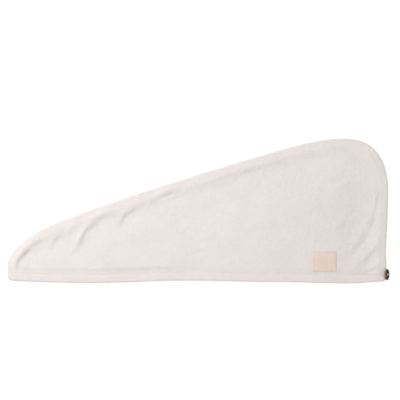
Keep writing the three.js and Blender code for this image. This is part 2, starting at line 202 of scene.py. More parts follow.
# Folds. Each run goes from its lower end up, in shares of LENGTH and HEIGHT, so that the ridge is on its
# left. Half is the way from the steepest line to the ridge's top and to the valley's bottom, in metres.
# Beyond its bottom the valley rises slack times as gently.
FOLDS = [
    {"at": "tail", "half": 0.0056, "ridge": 0.0021, "valley": 0.0018, "slack": 2.6, "run": (
        (0.1674, 0.1875), (0.1854, 0.2475), (0.1947, 0.2991), (0.2078, 0.3506), (0.2241, 0.4021),
        (0.2438, 0.4447), (0.2814, 0.4835))},
    {"at": "tip", "half": 0.0047, "ridge": 0.0014, "valley": 0.0028, "slack": 2.4, "run": (
        (0.0258, 0.0605), (0.0271, 0.1548), (0.0403, 0.1960), (0.0600, 0.2476), (0.0862, 0.2991),
        (0.1004, 0.3265))},
    {"at": "low tail", "half": 0.0048, "ridge": 0.0007, "valley": 0.0008, "slack": 1.6, "run": (
        (0.1074, 0.1805), (0.1125, 0.2304), (0.1230, 0.2922), (0.1387, 0.3506), (0.1504, 0.3855))},
    {"at": "tail pinch", "half": 0.0036, "ridge": 0.0004, "valley": 0.0002, "slack": 2.4, "run": (
        (0.1594, 0.3255), (0.1676, 0.3609), (0.1808, 0.4021), (0.1944, 0.4435))},
    {"at": "shoulder", "half": 0.0055, "ridge": 0.0008, "valley": 0.0020, "slack": 3.2, "run": (
        (0.2884, 0.3855), (0.2989, 0.4296), (0.3094, 0.4667), (0.3423, 0.5223), (0.3594, 0.5435))},
    {"at": "long edge", "half": 0.0054, "ridge": 0.0009, "valley": 0.0016, "slack": 3, "run": (
        (0.3734, 0.5555), (0.3964, 0.5895), (0.4214, 0.6205), (0.4434, 0.6425), (0.4634, 0.6575))},
    {"at": "rim", "half": 0.0060, "ridge": 0.0006, "valley": 0.0005, "slack": 3, "run": (
        (0.4764, 0.6455), (0.5064, 0.6635), (0.5878, 0.7375), (0.6477, 0.7881), (0.6902, 0.8142),
        (0.7362, 0.8415), (0.8014, 0.8775))},
    {"at": "rim gather", "half": 0.0042, "ridge": 0.0002, "valley": 0.0007, "slack": 2, "run": (
        (0.5914, 0.7305), (0.6194, 0.7595), (0.6414, 0.7805), (0.6634, 0.7975), (0.6854, 0.8095))},
    {"at": "crown gather", "half": 0.0042, "ridge": 0.0002, "valley": 0.0005, "slack": 2, "run": (
        (0.7714, 0.8505), (0.7914, 0.8675), (0.8134, 0.8835), (0.8334, 0.8875))},
    {"at": "tip crease", "half": 0.0035, "ridge": 0.0005, "valley": 0.0006, "slack": 1.6, "run": (
        (0.0544, 0.0555), (0.0534, 0.1255), (0.0614, 0.1755))},
    {"at": "head end, high", "half": 0.0054, "ridge": 0.0004, "valley": 0.0014, "slack": 1.5, "run": (
        (0.9454, 0.3755), (0.9589, 0.4555), (0.9674, 0.5655), (0.9699, 0.6455), (0.9664, 0.7255),
        (0.9554, 0.8005))},
    {"at": "head end, low", "half": 0.0075, "ridge": 0.0008, "valley": 0.0015, "slack": 1, "run": (
        (0.8904, 0.1755), (0.9044, 0.2255), (0.9200, 0.2679), (0.9397, 0.3334), (0.9514, 0.3955),
        (0.9644, 0.4955))},
    {"at": "head side", "half": 0.0060, "ridge": 0.0004, "valley": 0.0005, "slack": 2, "run": (
        (0.8564, 0.3455), (0.8662, 0.3746), (0.8924, 0.4570), (0.9014, 0.5055))},
    {"at": "nape", "half": 0.0042, "ridge": 0.0008, "valley": 0.0010, "slack": 3, "run": (
        (0.9194, 0.1105), (0.9294, 0.1335), (0.9504, 0.1905), (0.9784, 0.2730), (0.9874, 0.3155))},
    {"at": "button pull", "half": 0.0036, "ridge": 0.0008, "valley": 0.0010, "slack": 4, "run": (
        (0.9364, 0.0725), (0.9462, 0.0805), (0.9660, 0.1045), (0.9922, 0.1255))},
]


def smooth(value, low, high):
    """0 below low, 1 above high, and an even S between them."""
    share = np.clip((value - low) / (high - low), 0, 1)
    return share * share * (3 - 2 * share)


def roundness(depth, radius):
    """0 on an edge and 1 from the full radius inwards, along a quarter of a circle."""
    left = 1 - np.clip(depth / radius, 0, 1)
    return np.sqrt(1 - left * left)


def hill(x, start, peak, end):
    """0 at the start and the end, 1 at the peak, along the towel's length."""
    share = x / LENGTH
    return smooth(share, start, peak) * (1 - smooth(share, peak, end))


def curve_through(knots, values, at):
    """The values at the knots, and between them cubics that pass each knot at its neighbours' mean slope."""
    slope = np.gradient(values, knots, axis=0)
    at = np.clip(at, knots[0], knots[-1])
    i = np.clip(np.searchsorted(knots, at) - 1, 0, len(knots) - 2)
    span = knots[i + 1] - knots[i]
    t = (at - knots[i]) / span
    if values.ndim > 1:
        t, span = t[:, None], span[:, None]
    from_knot = values[i] * (1 + 2 * t) * (1 - t) ** 2 + values[i + 1] * t * t * (3 - 2 * t)
    from_slope = span * t * (1 - t) * (slope[i] * (1 - t) - slope[i + 1] * t)
    return from_knot + from_slope


def hem_edge(x):
    """Height of the hem's lower edge above a straight line."""
    along, wave = np.array(HEM_LINE).T
    return HEM_WAVE * curve_through(along, wave, np.asarray(x) / LENGTH)


def stitch_line(x):
    return hem_edge(x) + HEM_WIDTH


def bezier(points, steps=CURVE_STEPS):
    """Points along a curve from its handles, by repeated halving of the way between them."""
    t = np.linspace(0, 1, steps)[:, None]
    level = [np.array(p, float) for p in points]
    while len(level) > 1:
        level = [a * (1 - t) + b * t for a, b in zip(level, level[1:])]
    return level[0]


def seam_line():
    """The seam as close points, from the stitch line at the tail round to it at the head end."""
    size = np.array((LENGTH, HEIGHT - SEAM_DRAWN_IN))
    foot = (0, float(stitch_line(0)))
    start = np.array(SEAM_START["knot"]) * size
    runs = [bezier([foot, start])]
    last = SEAM_START
    for row in SEAM:
        handles = (last["knot"], last["leave"], row["arrive"], row["knot"])
        runs.append(bezier([np.array(h) * size for h in handles]))
        last = row
    end_x = SEAM_END["along"] * LENGTH
    end = np.array((end_x, float(stitch_line(end_x))))
    handles = (last["knot"], last["leave"], SEAM_END["arrive"])
    runs.append(bezier([*(np.array(h) * size for h in handles), end]))
    return np.vstack([runs[0], *(run[1:] for run in runs[1:])])


def spaced(line, count):
    """Points at even steps along a line, with the direction there and their share of its length."""
    steps = np.hypot(*np.diff(line, axis=0).T)
    way = np.concatenate([[0], np.cumsum(steps)])
    at = np.linspace(0, way[-1], count)
    points = np.column_stack([np.interp(at, way, line[:, k]) for k in (0, 1)])
    run = np.gradient(points, axis=0)
    run /= np.hypot(*run.T)[:, None]
    return points, run, at / way[-1]


def nearest(x, y, line):
    """For each place, its distance to a line, which side it is on, and how far along that is."""
    run = np.gradient(line, axis=0)
    run /= np.hypot(*run.T)[:, None]
    flat_x, flat_y = x.ravel(), y.ravel()
    found = np.empty(flat_x.size, int)
    block = 4000
    for start in range(0, flat_x.size, block):
        part = slice(start, start + block)
        across = flat_x[part, None] - line[None, :, 0]
        up = flat_y[part, None] - line[None, :, 1]
        found[part] = np.argmin(across * across + up * up, axis=1)
    arm_x, arm_y = flat_x - line[found, 0], flat_y - line[found, 1]
    side = np.sign(run[found, 0] * arm_y - run[found, 1] * arm_x)
    shape = x.shape
    away = np.hypot(arm_x, arm_y).reshape(shape)
    return away, side.reshape(shape), (found / (len(line) - 1)).reshape(shape)


seam = seam_line()


def ripple(x, y, height, step, seed, octaves=3):
    """Smooth unevenness up to about a height, with hills about one step wide."""
    places = zip(x.ravel() / step, y.ravel() / step)
    values = [noise.fractal((a, b, seed), 1.0, 2.0, octaves) for a, b in places]
    return height * np.array(values).reshape(x.shape)


def fold_height(x, y):
    """What the folds add: along each run a ridge on its left and a valley on its right."""
    height = np.zeros_like(x)
    size = np.array((LENGTH, HEIGHT))
    for fold in FOLDS:
        knots = np.array(fold["run"]) * size
        way = np.concatenate([[0], np.cumsum(np.hypot(*np.diff(knots, axis=0).T))])
        line = curve_through(way, knots, np.linspace(0, way[-1], CURVE_STEPS))
        reach = FOLD_REACH * fold["half"] * fold["slack"]
        low, high = line.min(axis=0) - reach, line.max(axis=0) + reach
        near = (x > low[0]) & (x < high[0]) & (y > low[1]) & (y < high[1])
        away, side, share = nearest(x[near], y[near], line)
        across = away * side / (fold["half"] * (FOLD_NARROW + (2 - 2 * FOLD_NARROW) * share))
        across += ripple(x[near], y[near], **FOLD_WOBBLE)
        across = np.where(across < -1, -1 + (across + 1) / fold["slack"], across)
        wave = across * np.exp((1 - across * across) / 2)
        deep = np.where(across > 0, fold["ridge"], fold["valley"])
        deep *= 1 + ripple(x[near], y[near], **FOLD_UNEVEN)
        height[near] += wave * deep * np.sin(math.pi * share) ** FOLD_FADE
    return height


def mouth_rise(x):
    return (MOUTH_GAP - SEAM_GAP) * hill(x, *MOUTH_SPAN)


def stitch_dip(away, spread):
    return STITCH_DIP * (1 - smooth(away, 0, spread))


def panel_rise(x, y, seam_share):
    """How far the inside of the front panel stands above the level of the seam, where the seam lets it."""
    above = y - stitch_line(x)
    loft = TAIL_LOFT + (HEAD_LOFT - TAIL_LOFT) * hill(x, *LOFT_SPAN) - (FRONT_BASE - PLY)
    at_hem = mouth_rise(x) + DOUBLED - PLY
    return seam_share * (at_hem + (loft - at_hem) * smooth(above, 0, HEM_SLOPE))


def front_faces(x, y, depth):
    """Lower and upper face of the front panel."""
    above = y - stitch_line(x)
    off_edge = roundness(depth, EDGE_ROUND)
    off_hem = smooth(above, 0, HEM_EASE)
    allowance_end = ALLOWANCE_EDGE + ALLOWANCE_STEP
    inside = smooth(depth, allowance_end, allowance_end + SEAM_SLOPE)
    low = BACK_TOP + GROOVE_ROUND * (1 - roundness(depth, GROOVE_ROUND))
    low += SEAM_GAP * smooth(depth, ALLOWANCE_EDGE, allowance_end)
    low += np.maximum(0, panel_rise(x, y, inside) - inside * stitch_dip(above, PANEL_DIP_SPREAD))
    swell_at, swell = np.array(SWELLS).T
    swells = SWELL * curve_through(swell_at, swell, x.ravel() / LENGTH).reshape(x.shape)
    swells = swells * smooth(above, 0, SWELL_FROM) * (1 - smooth(above, SWELL_FROM, SWELL_TO))
    soft = ripple(x, y, **SLACK_CLOTH) + ripple(x, y, **SOFT_HILLS) + ripple(x, y, **SMALL_DENTS)
    rim = GROOVE_ROUND * (1 - off_edge)
    rim += DOUBLED * ((1 - RIM_CROWN) * off_edge + RIM_CROWN * smooth(depth, 0, RIM_CROWN_WIDTH))
    field = PLY + panel_rise(x, y, inside) + soft
    on_rim = 1 - smooth(depth, RIM_FLAT, RIM_FLAT + RIM_SLOPE)
    top = field + (rim - field) * on_rim + (swells + fold_height(x, y)) * off_edge * off_hem
    gathers = smooth(depth, *GATHERS_FROM) * (1 - smooth(depth, *GATHERS_TO))
    pucker = ripple(x, y, **SEAM_GATHERS) * gathers + ripple(x, y, **CRUMPLED_PILE)
    top = top + pucker * off_edge * off_hem - off_edge * stitch_dip(above, PANEL_DIP_SPREAD)
    spare = top - (GROOVE_ROUND + (THINNEST - GROOVE_ROUND) * off_edge)
    top = top + 0.5 * (np.sqrt(spare * spare + (SOFTEST * off_edge) ** 2) - spare)
    high = FRONT_BASE + top
    return np.minimum(low, np.maximum(BACK_TOP, high - THINNEST)), np.maximum(high, low)


MM_PER_METRE = 1000
SEAM_ROWS = (0, 0.1, 0.3, 0.6, 0.9, 1.4, 2, 3, 4, 5.5, 7, 8.5, 10, 11, 12, 13, 14, 15, 16, 17.5, 20)
FOOT_EVEN = 0.4
ROWS_CLOSER = 1.35


def panel_places(columns, field_rows):
    """A grid over the panel: rows beside the seam at set depths, then straight rows to the stitch line."""
    seam_rows = np.array(SEAM_ROWS) / MM_PER_METRE
    points, run, share = spaced(seam, columns)
    x = points[:, :1] + run[:, 1:] * seam_rows
    y = points[:, 1:] - run[:, :1] * seam_rows
    for end, inward in ((0, 1), (-1, -1)):
        x[end] = points[end, 0] + inward * seam_rows
        y[end] = stitch_line(x[end])
    deepest = seam_rows[-1]
    end_x = SEAM_END["along"] * LENGTH
    even_x = deepest + share * (end_x - 2 * deepest)
    foot_x = FOOT_EVEN * even_x + (1 - FOOT_EVEN) * x[:, -1]
    foot_x[[0, -1]] = x[[0, -1], -1]
    foot_y = stitch_line(foot_x)
    step = 1 - (1 - np.linspace(0, 1, field_rows + 1)[1:]) ** ROWS_CLOSER
    depth = np.broadcast_to(seam_rows, x.shape)
    field_x = x[:, -1:] + (foot_x[:, None] - x[:, -1:]) * step
    field_y = y[:, -1:] + (foot_y[:, None] - y[:, -1:]) * step
    field_depth = nearest(field_x, field_y, spaced(seam, SEAM_STEPS)[0])[0]
    return np.hstack([x, field_x]), np.hstack([y, field_y]), np.hstack([depth, field_depth])


SHARP_FROM = math.radians(62)


def choose(*pieces):
    """Makes these pieces the only chosen ones, and the first of them the active one."""
    bpy.ops.object.select_all(action="DESELECT")
    for piece in pieces:
        piece.select_set(True)
    bpy.context.view_layer.objects.active = pieces[0]


def cloth_body(name, node, x, y, low, high, worn):
    """A closed body from a grid of places with a lower and an upper height, welded where they meet."""
    columns, rows = x.shape
    tops = np.stack([x + tail_x, y + hem_y, high], axis=-1).reshape(-1, 3)
    unders = np.stack([x + tail_x, y + hem_y, low], axis=-1).reshape(-1, 3)
    at = np.arange(columns * rows).reshape(columns, rows)
    under = at + columns * rows
    quads = [
        np.stack([at[:-1, :-1], at[:-1, 1:], at[1:, 1:], at[1:, :-1]], axis=-1),
        np.stack([under[:-1, :-1], under[1:, :-1], under[1:, 1:], under[:-1, 1:]], axis=-1),
    ]
    around = np.concatenate([at[:, 0], at[-1, 1:], at[-2::-1, -1], at[0, -2::-1]])
    below = around + columns * rows
    quads.append(np.stack([around[:-1], around[1:], below[1:], below[:-1]], axis=-1))
    faces = np.concatenate([q.reshape(-1, 4) for q in quads])
    mesh = bpy.data.meshes.new(name)
    mesh.from_pydata(np.vstack([tops, unders]).tolist(), [], faces.tolist())
    # Each corner keeps how much painted shade it takes near the cloth's edges.
    edge = mesh.attributes.new("painted_edge_shade", "FLOAT", "POINT")
    edge.data.foreach_set("value", np.tile(worn.ravel(), 2))
    shape = bmesh.new()
    shape.from_mesh(mesh)
    bmesh.ops.remove_doubles(shape, verts=shape.verts, dist=1e-6)
    bmesh.ops.dissolve_degenerate(shape, edges=shape.edges, dist=1e-7)
    shape.to_mesh(mesh)
    shape.free()
    body = bpy.data.objects.new(name, mesh)
    bpy.context.collection.objects.link(body)
    choose(body)
    bpy.ops.object.shade_smooth_by_angle(angle=SHARP_FROM)
    body.data.materials.append(terry)
    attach(body, "root")
    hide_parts(node)
    return body


def new_material(name, roughness, specular):
    material = bpy.data.materials.new(name)
    material.use_nodes = True
    shader = material.node_tree.nodes["Principled BSDF"]
    shader.inputs["Roughness"].default_value = roughness
    shader.inputs["Specular IOR Level"].default_value = specular
    return material, material.node_tree, shader


def noise_node(tree, place, scale, detail, roughness=0.5):
    node = tree.nodes.new("ShaderNodeTexNoise")
    node.inputs["Scale"].default_value = scale
    node.inputs["Detail"].default_value = detail
    node.inputs["Roughness"].default_value = roughness
    tree.links.new(place, node.inputs["Vector"])
    return node.outputs["Fac"]


def mix_node(tree, factor, first, second, blend="MIX"):
    node = tree.nodes.new("ShaderNodeMix")
    node.data_type = "RGBA"
    node.blend_type = blend
    colours = [s for s in node.inputs if s.type == "RGBA"]
    for socket, value in ((node.inputs["Factor"], factor), (colours[0], first), (colours[1], second)):
        if isinstance(value, bpy.types.NodeSocket):
            tree.links.new(value, socket)
        else:
            socket.default_value = value
    return next(s for s in node.outputs if s.type == "RGBA")


def range_node(tree, value, low, high, to_low=0.0, to_high=1.0):
    node = tree.nodes.new("ShaderNodeMapRange")
    for name, number in (("From Min", low), ("From Max", high), ("To Min", to_low), ("To Max", to_high)):
        node.inputs[name].default_value = number
    tree.links.new(value, node.inputs["Value"])
    return node.outputs["Result"]


def bump_node(tree, height, distance, strength, before=None):
    node = tree.nodes.new("ShaderNodeBump")
    node.inputs["Distance"].default_value = distance
    node.inputs["Strength"].default_value = strength
    tree.links.new(height, node.inputs["Height"])
    if before is not None:
        tree.links.new(before, node.inputs["Normal"])
    return node.outputs["Normal"]


LOOP_ROWS = 760
LOOP_CURL = 0.3
LOOP_HEIGHT = 0.0006
LOWER_FINER = 1.2
LOWER_SHIFT = (0.37, 0.61, 0.2)
BRUSHED_SCALE = 400
BRUSHED_REACH = 0.0024
CLUMP_SCALE = 125
CLUMP_HEIGHT = 0.0020
CLOUD_SCALE = 30
FIBRE_SCALE = 3600
FIBRE_HEIGHT = 0.00012
TAIL_PRESSED = 0.35
TAIL_PRESSED_FROM = -0.33
TAIL_PRESSED_TO = -0.03
TERRY_LIGHT = (0.834, 0.774, 0.748, 1)
TERRY_SHADE = (0.799, 0.738, 0.710, 1)
# Tone painted between the loops, as the shade that falls in among them.
TERRY_GAP_SHADE = (0.72, 0.65, 0.615, 1)
# Tone painted along the cloth's edges as their shade.
TERRY_EDGE_SHADE = (0.72, 0.66, 0.63, 1)


def math_node(tree, operation, first, second):
    node = tree.nodes.new("ShaderNodeMath")
    node.operation = operation
    for socket, value in zip(node.inputs, (first, second)):
        if isinstance(value, bpy.types.NodeSocket):
            tree.links.new(value, socket)
        else:
            socket.default_value = value
    return node.outputs["Value"]


def effect_group(name, inputs, outputs):
    """An empty node group with these sockets, and the nodes that bring them in and out."""
    group = bpy.data.node_groups.new(name, "ShaderNodeTree")
    for way, sockets in (("INPUT", inputs), ("OUTPUT", outputs)):
        for label, kind in sockets.items():
            group.interface.new_socket(name=label, in_out=way, socket_type="NodeSocket" + kind)
    return group, group.nodes.new("NodeGroupInput").outputs, group.nodes.new("NodeGroupOutput").inputs


def place_effect(tree, group, **values):
    """One use of a group in a material, its sockets linked or set by their names in plain letters."""
    node = tree.nodes.new("ShaderNodeGroup")
    node.node_tree = group
    for label, value in values.items():
        socket = node.inputs[label.replace("_", " ").capitalize()]
        if isinstance(value, bpy.types.NodeSocket):
            tree.links.new(value, socket)
        else:
            socket.default_value = value
    return node.outputs


def painted_light_group():
    """Painted light at edges: where the mask says so, a colour gives way to the painted one."""
    inputs = {"Colour": "Color", "Worn colour": "Color", "Mask": "Float", "Amount": "Float"}
    group, given, result = effect_group("edge_painted_light", inputs, {"Colour": "Color"})
    share = math_node(group, "MULTIPLY", given["Mask"], given["Amount"])
    worn = mix_node(group, share, given["Colour"], given["Worn colour"])
    group.links.new(worn, result["Colour"])
    return group


edge_painted_light = painted_light_group()


def shifted(tree, place, by, reach):
    """The place moved about by up to half the reach, by a colour or by a fixed step."""
    step = tree.nodes.new("ShaderNodeVectorMath")
    step.operation = "MULTIPLY_ADD"
    if isinstance(by, bpy.types.NodeSocket):
        tree.links.new(by, step.inputs[0])
    else:
        step.inputs[0].default_value = by
    step.inputs[1].default_value = (reach, reach, reach)
    tree.links.new(place, step.inputs[2])
    return step.outputs["Vector"]


def pile_loops(tree, place, scale):
    """Height of one layer of cotton loops: each a small curl with a dimple in its middle."""
    cells = tree.nodes.new("ShaderNodeTexVoronoi")
    cells.inputs["Scale"].default_value = scale
    cells.inputs["Randomness"].default_value = 0.9
    tree.links.new(place, cells.inputs["Vector"])
    away = cells.outputs["Distance"]
    inner = range_node(tree, away, 0.0, LOOP_CURL, 0.45, 1.0)
    outer = range_node(tree, away, LOOP_CURL, 0.66, 1.0, 0.0)
    return math_node(tree, "MINIMUM", inner, outer)


def terry_material():
    """Short cotton loops that lean on each other in two layers, brushed this way and that in patches.

    Towards the tail the pile is pressed flatter.
    """
    material, tree, shader = new_material("cream_terry", 0.95, 0.15)
    shader.inputs["Sheen Weight"].default_value = 0.12
    shader.inputs["Sheen Roughness"].default_value = 0.5
    place = tree.nodes.new("ShaderNodeTexCoord").outputs["Object"]
    brushed = tree.nodes.new("ShaderNodeTexNoise")
    brushed.inputs["Scale"].default_value = BRUSHED_SCALE
    brushed.inputs["Detail"].default_value = 2
    tree.links.new(place, brushed.inputs["Vector"])
    leaning = shifted(tree, place, brushed.outputs["Color"], BRUSHED_REACH)
    upper = pile_loops(tree, leaning, LOOP_ROWS)
    lower = pile_loops(tree, shifted(tree, leaning, LOWER_SHIFT, 0.01), LOWER_FINER * LOOP_ROWS)
    loops = math_node(tree, "MAXIMUM", upper, math_node(tree, "MULTIPLY", lower, 0.85))
    fibres = noise_node(tree, place, FIBRE_SCALE, 2, 0.6)
    clumps = noise_node(tree, place, CLUMP_SCALE, 1.5, 0.5)
    clouds = noise_node(tree, place, CLOUD_SCALE, 3, 0.5)
    tone = mix_node(tree, range_node(tree, clouds, 0.3, 0.7), TERRY_SHADE, TERRY_LIGHT)
    tone = mix_node(tree, range_node(tree, clumps, 0.3, 0.5, 0.35, 0.0), tone, TERRY_SHADE)
    # Between the loops the tone is painted darker, as painted shade.
    tone = mix_node(tree, range_node(tree, loops, 0.2, 0.7, 0.28, 0.0), tone, TERRY_GAP_SHADE)
    # The cloth's edges are painted darker, as painted shade where they turn away from the light.
    worn = tree.nodes.new("ShaderNodeAttribute")
    worn.attribute_name = "painted_edge_shade"
    mask = worn.outputs["Fac"]
    painted_light_tone = place_effect(tree, edge_painted_light, colour=tone, worn_colour=TERRY_EDGE_SHADE, mask=mask, amount=0.5)
    tree.links.new(painted_light_tone["Colour"], shader.inputs["Base Color"])
    split = tree.nodes.new("ShaderNodeSeparateXYZ")
    tree.links.new(place, split.inputs["Vector"])
    pressed = range_node(tree, split.outputs["X"], TAIL_PRESSED_FROM, TAIL_PRESSED_TO, TAIL_PRESSED, 1.0)
    normal = bump_node(tree, math_node(tree, "MULTIPLY", clumps, pressed), CLUMP_HEIGHT, 0.5)
    normal = bump_node(tree, loops, LOOP_HEIGHT, 0.45, normal)
    normal = bump_node(tree, fibres, FIBRE_HEIGHT, 0.5, normal)
    tree.links.new(normal, shader.inputs["Normal"])
    return material


terry = terry_material()


def panel(name, node, columns, field_rows, faces_at):
    x, y, depth = panel_places(columns, field_rows)
    # Painted shade along the seam edge, full at the edge and gone a few millimetres in.
    worn = 1 - smooth(depth, 0, EDGE_SHADE_REACH)
    return cloth_body(name, node, x, y, *faces_at(x, y, depth), worn)


front_panel = panel("front_panel_terry", "front_panel", columns=400, field_rows=78, faces_at=front_faces)


# Back panel
# The second ply, cut like the front one and lying flat on the table. Its rim curls up a little to meet
# the front panel at the seam.
BACK_NAP = {"height": 0.0001, "step": 0.004, "seed": 2.3, "octaves": 2}


def back_faces(x, y, depth):
    """Lower and upper face of the back panel."""
    inside = smooth(depth, ALLOWANCE_EDGE, ALLOWANCE_EDGE + ALLOWANCE_STEP)
    low = (BACK_TOP - GROOVE_ROUND) * (1 - roundness(depth, EDGE_ROUND))
    high = BACK_TOP + (PLY - BACK_TOP) * inside
    high -= GROOVE_ROUND * (1 - roundness(depth, GROOVE_ROUND))
    nap = ripple(x, y, **BACK_NAP) * inside
    return low, high + nap


back_panel = panel("back_panel_terry", "back_panel", columns=240, field_rows=40, faces_at=back_faces)


# Hems
# The straight edge of each panel is turned in and topstitched, which makes a doubled band with a round
# lower edge and rounded corners. The button's thread pulls its head end in a little.
CORNER_RADIUS = 0.008
BUTTON_ABOVE_HEM = 0.0115
THREAD_PULL = 0.0014
PULL_SPREAD = 0.004
HEM_ROWS = (15, 14.6, 14.2, 13.6, 13, 12, 11, 9.5, 8, 6.5, 5, 4, 3, 2.2, 1.5, 0.9, 0.4, 0.12, 0)
HEM_END_COLUMNS = (0, 0.2, 0.6, 1.2, 2, 3, 4, 6, 8, 10)
HEM_COLUMNS = 330
HEM_ENDS = 0.012
HEM_PUCKER = {"height": 0.00025, "step": 0.011, "seed": 6.2}
HEM_PUCKER_EASE = 0.003


def hem_ends(height):
    """Where a hem band starts and ends at a height: round at its corners and drawn in by the thread."""
    corner = CORNER_RADIUS * (1 - roundness(height, CORNER_RADIUS))
    pull = THREAD_PULL * np.exp(-((height - BUTTON_ABOVE_HEM) / PULL_SPREAD) ** 2)
    return corner, SEAM_END["along"] * LENGTH - corner - pull


def hem_top(x, height):
    """Upper face of the front hem, away from its two ends: round at the edge and low at the stitches."""
    half = DOUBLED / 2
    plump = half * roundness(height, half)
    dip = stitch_dip(HEM_WIDTH - height, HEM_DIP_SPREAD)
    pucker = ripple(x, hem_edge(x) + height, **HEM_PUCKER)
    pucker *= smooth(HEM_WIDTH - height, 0, HEM_PUCKER_EASE)
    return FRONT_BASE + mouth_rise(x) + half + plump - dip + pucker * roundness(height, half)


def hem_band(name, node, front):
    """One doubled band below the stitch line, open towards the other one at the mouth."""
    half = DOUBLED / 2
    heights = np.array(HEM_ROWS) / MM_PER_METRE
    near_end = np.array(HEM_END_COLUMNS) / MM_PER_METRE
    start, end = hem_ends(heights)
    middle = np.linspace(0, 1, HEM_COLUMNS)[1:-1, None]
    inner_start, inner_end = start + HEM_ENDS, end - HEM_ENDS
    x = np.vstack([
        start + near_end[:, None],
        inner_start + (inner_end - inner_start) * middle,
        end - near_end[::-1, None],
    ])
    height = np.broadcast_to(heights, x.shape)
    plump = half * roundness(height, half)
    side_round = roundness(np.minimum(x - start, end - x), EDGE_ROUND)
    if front:
        low = FRONT_BASE + mouth_rise(x) + half - plump
        high = low + (hem_top(x, height) - low) * side_round
    else:
        high = half + plump
        low = high - 2 * plump * side_round
    # Painted shade along the hem's lower edge and its two ends.
    worn = 1 - smooth(np.minimum(height, np.minimum(x - start, end - x)), 0, EDGE_SHADE_REACH)
    return cloth_body(name, node, x, hem_edge(x) + height, low, high, worn)


hem_front = hem_band("hem_front_terry", "hem_front", front=True)
hem_back = hem_band("hem_back_terry", "hem_back", front=False)


# Hem stitching
# A row of lockstitches in cream cotton-wrapped thread holds each hem's turned-in edge. One stitch is a
# short float that sinks into the loops at both ends, and the row is copies of it along the stitch line.
STITCH_LENGTH = 0.0027
STITCH_PITCH = 0.0034
STITCH_THICK = 0.00055
STITCH_IN = 0.0007
STITCH_SINK = 0.00022
STITCH_CUTS = (-0.36, -0.2, 0.2, 0.36)
STITCH_ENDS = ({"from": 0.45, "drop": 0.6, "narrow": 0.5}, {"from": 0.3, "drop": 0.15, "narrow": 0.9})
PLY_SCALE = 420
PLY_HEIGHT = 0.0002
FLUFF_SCALE = 1500
FLUFF_HEIGHT = 0.00003
THREAD_COLOUR = (0.80, 0.73, 0.69, 1)
THREAD_DARK = (0.60, 0.51, 0.47, 1)


def edit(piece):
    choose(piece)
    bpy.ops.object.mode_set(mode="EDIT")
    bpy.ops.mesh.select_all(action="SELECT")


def pick(piece, kind, test):
    """In edit mode, selects only the corners, edges or faces whose middle passes a test."""
    bpy.ops.mesh.select_all(action="DESELECT")
    bpy.ops.mesh.select_mode(type=kind)
    shape = bmesh.from_edit_mesh(piece.data)
    parts = {"VERT": shape.verts, "EDGE": shape.edges, "FACE": shape.faces}[kind]
    for part in parts:
        corners = [part.co] if kind == "VERT" else [v.co for v in part.verts]
        part.select_set(bool(test(sum(corners, Vector()) / len(corners), part)))
    shape.select_flush_mode()
    bmesh.update_edit_mesh(piece.data)


def stitch_shape(name, length, thick):
    """One stitch along X: a round float, thinner and lower at its ends."""
    lying = (0, math.pi / 2, 0)
    bpy.ops.mesh.primitive_cylinder_add(vertices=8, radius=thick / 2, depth=length, rotation=lying)
    piece = bpy.context.object
    piece.name = name
    bpy.ops.object.transform_apply(rotation=True)
    edit(piece)
    for share in STITCH_CUTS:
        bpy.ops.mesh.select_all(action="SELECT")
        bpy.ops.mesh.bisect(plane_co=(share * length, 0, 0), plane_no=(1, 0, 0))
    for end in STITCH_ENDS:
        low = (0, 0, -end["drop"] * thick)
        for side in (-1, 1):
            pick(piece, "VERT", lambda middle, part: side * middle.x > end["from"] * length)
            bpy.ops.transform.translate(value=low)
            bpy.ops.transform.resize(value=(1, end["narrow"], end["narrow"]), center_override=low)
    bpy.ops.object.mode_set(mode="OBJECT")
    bpy.ops.object.shade_smooth()
    return piece


def specks_group():
    """Fine specks of a second colour where a noise is past a level, and the noise as a height."""
    inputs = {"Place": "Vector", "Scale": "Float", "From": "Float", "To": "Float", "Amount": "Float"}
    inputs |= {"Colour": "Color", "Speck colour": "Color"}
    group, given, result = effect_group("fine_specks", inputs, {"Colour": "Color", "Height": "Float"})
    height = noise_node(group, given["Place"], 1, 2, 0.6)
    group.links.new(given["Scale"], height.node.inputs["Scale"])
    share = range_node(group, height, 0, 1)
    group.links.new(given["From"], share.node.inputs["From Min"])
    group.links.new(given["To"], share.node.inputs["From Max"])
    group.links.new(given["Amount"], share.node.inputs["To Max"])
    speckled = mix_node(group, share, given["Colour"], given["Speck colour"])
    group.links.new(speckled, result["Colour"])
    group.links.new(height, result["Height"])
    return group


fine_specks = specks_group()


def speckled(tree, place, scale, start, end, amount, colour, speck_colour):
    """Colour and height of fine specks that begin at one level of their noise and are full at another."""
    values = {"place": place, "scale": scale, "from": start, "to": end, "amount": amount}
    specks = place_effect(tree, fine_specks, colour=colour, speck_colour=speck_colour, **values)
    return specks["Colour"], specks["Height"]


